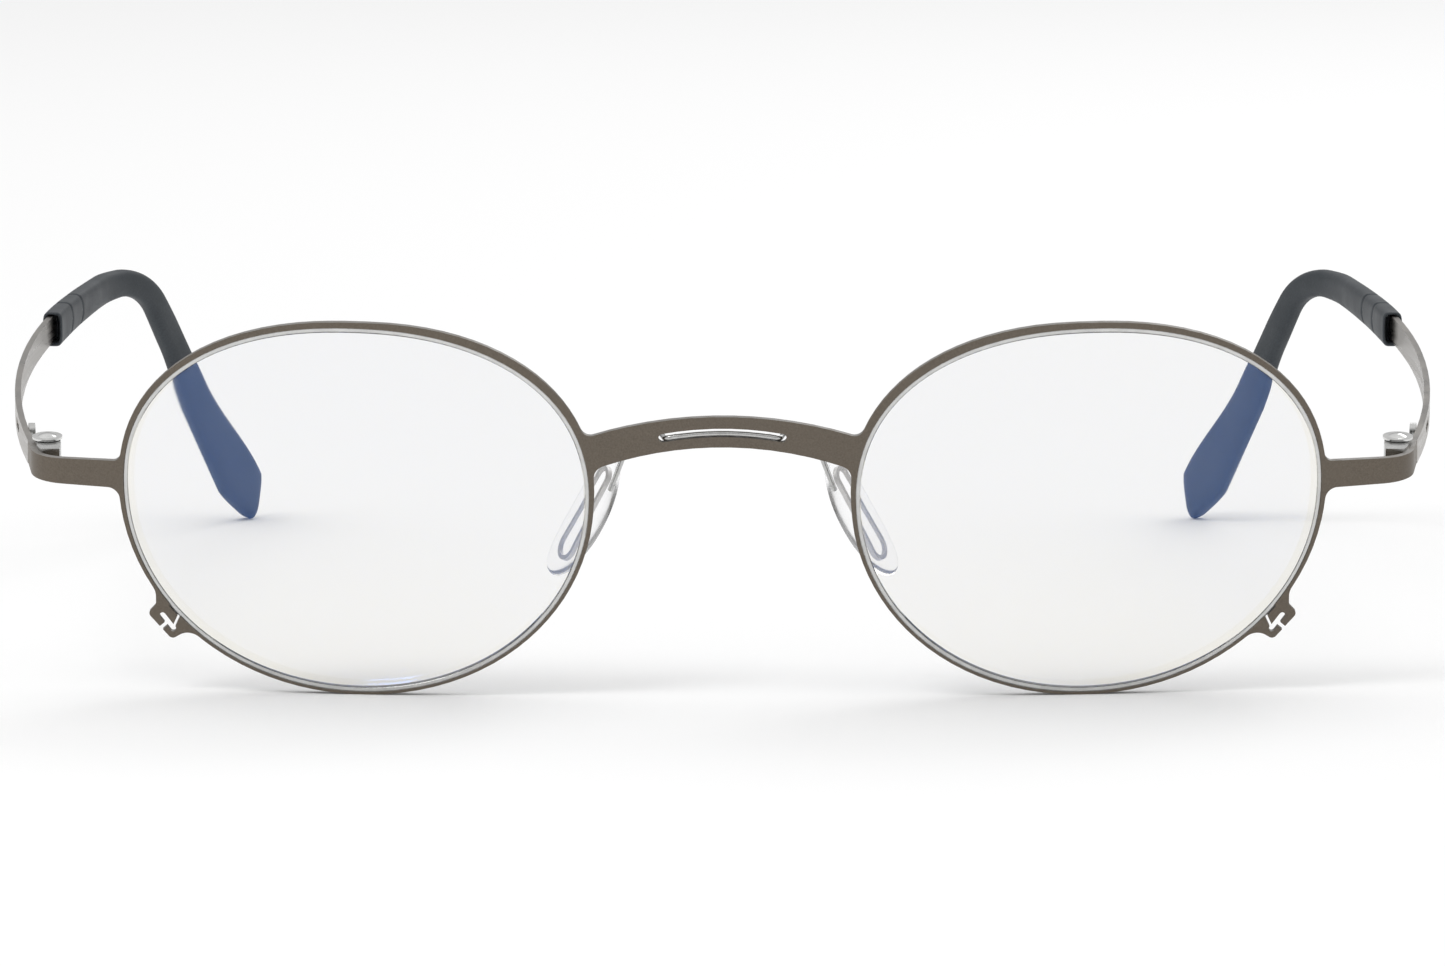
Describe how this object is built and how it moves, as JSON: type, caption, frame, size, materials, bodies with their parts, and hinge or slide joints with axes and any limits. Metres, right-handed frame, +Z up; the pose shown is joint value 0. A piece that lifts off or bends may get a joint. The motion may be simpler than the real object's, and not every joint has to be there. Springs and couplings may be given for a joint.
{
  "type": "eyeglasses",
  "caption": "Lightweight eyeglasses with oval lenses in a cut sheet-metal front, screwless folding hinges, thin spring temples and soft bent tips.",
  "frame": {"origin": "on the surface that the glasses stand on, below the middle of the whole open pair", "axes": "+X towards the wearer's left, +Y from the front back towards the ears, +Z up"},
  "size_m": [0.1422, 0.14, 0.0368],
  "materials": {
    "coated_sheet": "matte taupe-brown coating, thin bare steel line along cut edges",
    "polished_wire": "drawn and polished wire",
    "eyewire_steel": "satin bare metal",
    "demo_lens": "clear demonstration lens with a faint blue reflection coating",
    "clear_silicone": "clear soft silicone",
    "pad_core_metal": "satin metal insert",
    "hinge_steel": "satin",
    "polished_cap": "polished dome",
    "washer_plastic": "dark low-friction plastic",
    "brushed_temple": "fine lengthwise brushing, warm silver-grey",
    "tip_rubber": "matte slate-grey rubber"
  },
  "bodies": {
    "front": {"front_sheet": "coated_sheet", "nose_wire": "polished_wire", "eyewire_right": "eyewire_steel", "eyewire_left": "eyewire_steel", "lens_right": "demo_lens", "lens_left": "demo_lens", "nose_pad_right": "clear_silicone", "nose_pad_left": "clear_silicone", "nose_pad_core_right": "pad_core_metal", "nose_pad_core_left": "pad_core_metal", "hinge_front_leaf_right": "hinge_steel", "hinge_front_leaf_left": "hinge_steel", "hinge_pin_right": "polished_cap", "hinge_pin_left": "polished_cap", "hinge_washers_right": "washer_plastic", "hinge_washers_left": "washer_plastic", "hinge_ring_right": "hinge_steel", "hinge_ring_left": "hinge_steel"},
    "right_temple": {"hinge_temple_leaf_right": "hinge_steel", "temple_right": "brushed_temple", "temple_tip_right": "tip_rubber"},
    "left_temple": {"hinge_temple_leaf_left": "hinge_steel", "temple_left": "brushed_temple", "temple_tip_left": "tip_rubber"}
  },
  "joints": [
    {"name": "right_hinge", "type": "hinge", "parent": "front", "child": "right_temple", "pos_m": [-0.0651, -0.05619, 0.02254], "axis": [0, 0.1792, -0.9838], "range_deg": [0, 84]},
    {"name": "left_hinge", "type": "hinge", "parent": "front", "child": "left_temple", "pos_m": [0.0651, -0.05619, 0.02254], "axis": [0, -0.1792, 0.9838], "range_deg": [0, 78]}
  ]
}
